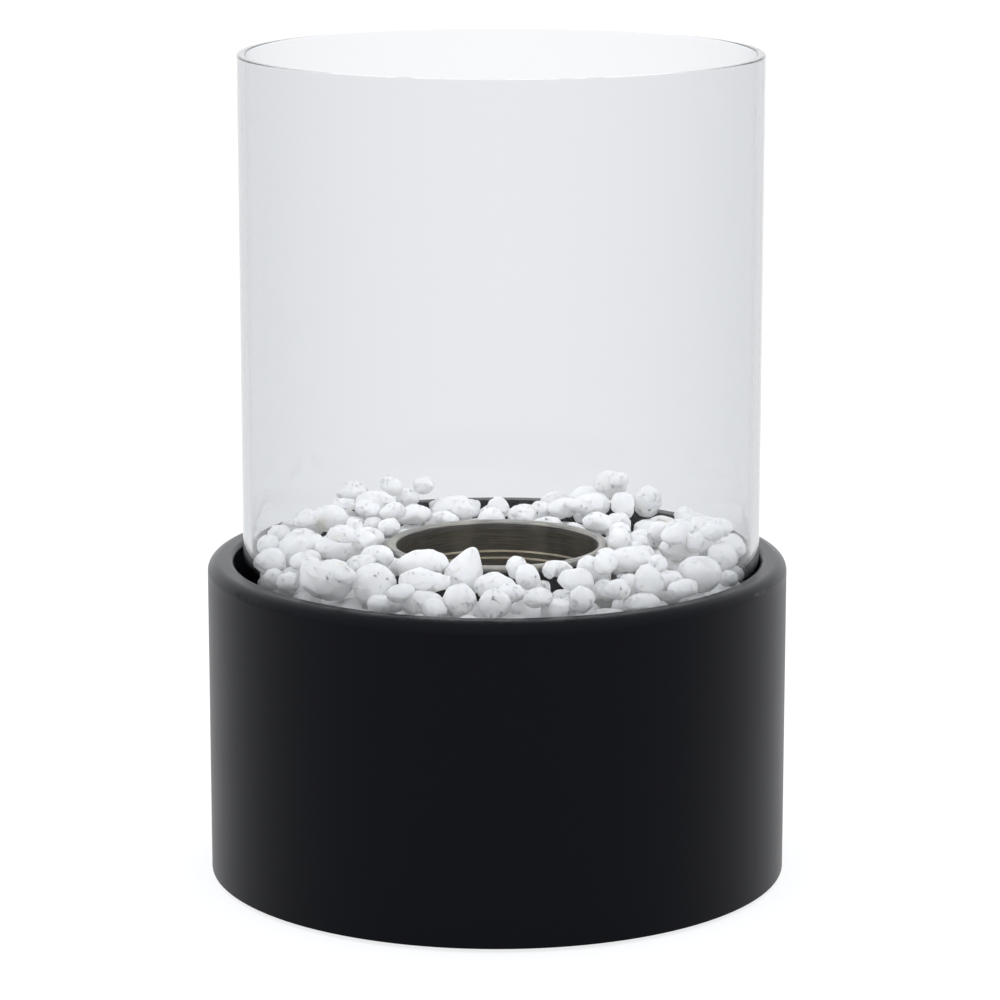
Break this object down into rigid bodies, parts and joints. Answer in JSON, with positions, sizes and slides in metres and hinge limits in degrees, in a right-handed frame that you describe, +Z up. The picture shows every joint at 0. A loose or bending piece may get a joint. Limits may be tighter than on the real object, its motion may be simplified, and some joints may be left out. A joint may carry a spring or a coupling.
{
  "type": "tabletop bioethanol fireplace",
  "caption": "Round tabletop bioethanol fireplace: black steel drum, white pebbles around a lift-out fuel cup, and a clear glass cylinder that lifts off.",
  "frame": {"origin": "on the table, under the middle of the drum", "axes": "+Z up, along the drum's axis; +X to the right and -Y towards the viewer of the picture"},
  "size_m": [0.225, 0.225, 0.3205],
  "materials": {
    "black_powder_coat": "matte powder coat with fine orange peel",
    "clear_glass": "clear, polished edges",
    "brushed_stainless": "brushed round the cup",
    "spring_steel": "drawn wire",
    "zinc_plated_steel": "bright zinc plate",
    "black_rubber": "moulded, matte",
    "ceramic_wool": "felted fibre",
    "white_pebble": "tumbled marble, dry"
  },
  "bodies": {
    "base": {"back_pebbles": "white_pebble", "bottom_nuts": "zinc_plated_steel", "bottom_plate": "black_powder_coat", "bottom_screws": "zinc_plated_steel", "burner_sleeve": "black_powder_coat", "front_pebbles": "white_pebble", "left_pebbles": "white_pebble", "lower_pebbles_1": "white_pebble", "lower_pebbles_2": "white_pebble", "lower_pebbles_3": "white_pebble", "lower_pebbles_4": "white_pebble", "lower_pebbles_5": "white_pebble", "lower_pebbles_6": "white_pebble", "lower_pebbles_7": "white_pebble", "lower_pebbles_8": "white_pebble", "outer_shell": "black_powder_coat", "pebble_back_high": "white_pebble", "pebble_domed": "white_pebble", "pebble_front_big": "white_pebble", "pebble_front_low": "white_pebble", "pebble_front_round": "white_pebble", "pebble_left_tall": "white_pebble", "pebble_long": "white_pebble", "pebble_pointed": "white_pebble", "pebble_right_big": "white_pebble", "pebble_stained": "white_pebble", "right_pebbles": "white_pebble", "rubber_foot_1": "black_rubber", "rubber_foot_2": "black_rubber", "rubber_foot_3": "black_rubber", "rubber_foot_4": "black_rubber", "sleeve_rivets": "zinc_plated_steel", "stone_tray": "black_powder_coat", "support_strut_1": "zinc_plated_steel", "support_strut_2": "zinc_plated_steel", "support_strut_3": "zinc_plated_steel", "tray_nuts": "zinc_plated_steel", "tray_screws": "zinc_plated_steel", "upper_pebbles_1": "white_pebble", "upper_pebbles_10": "white_pebble", "upper_pebbles_11": "white_pebble", "upper_pebbles_12": "white_pebble", "upper_pebbles_2": "white_pebble", "upper_pebbles_3": "white_pebble", "upper_pebbles_4": "white_pebble", "upper_pebbles_5": "white_pebble", "upper_pebbles_6": "white_pebble", "upper_pebbles_7": "white_pebble", "upper_pebbles_8": "white_pebble", "upper_pebbles_9": "white_pebble"},
    "glass": {"glass_cylinder": "clear_glass"},
    "burner": {"fuel_cup": "brushed_stainless", "ceramic_wool": "ceramic_wool", "wool_cover": "brushed_stainless", "retaining_ring": "spring_steel"}
  },
  "joints": [
    {"name": "glass_lift", "type": "slide", "parent": "base", "child": "glass", "axis": [0, 0, 1], "range_m": [0, 0.08]},
    {"name": "burner_lift", "type": "slide", "parent": "base", "child": "burner", "axis": [0, 0, 1], "range_m": [0, 0.09]}
  ]
}
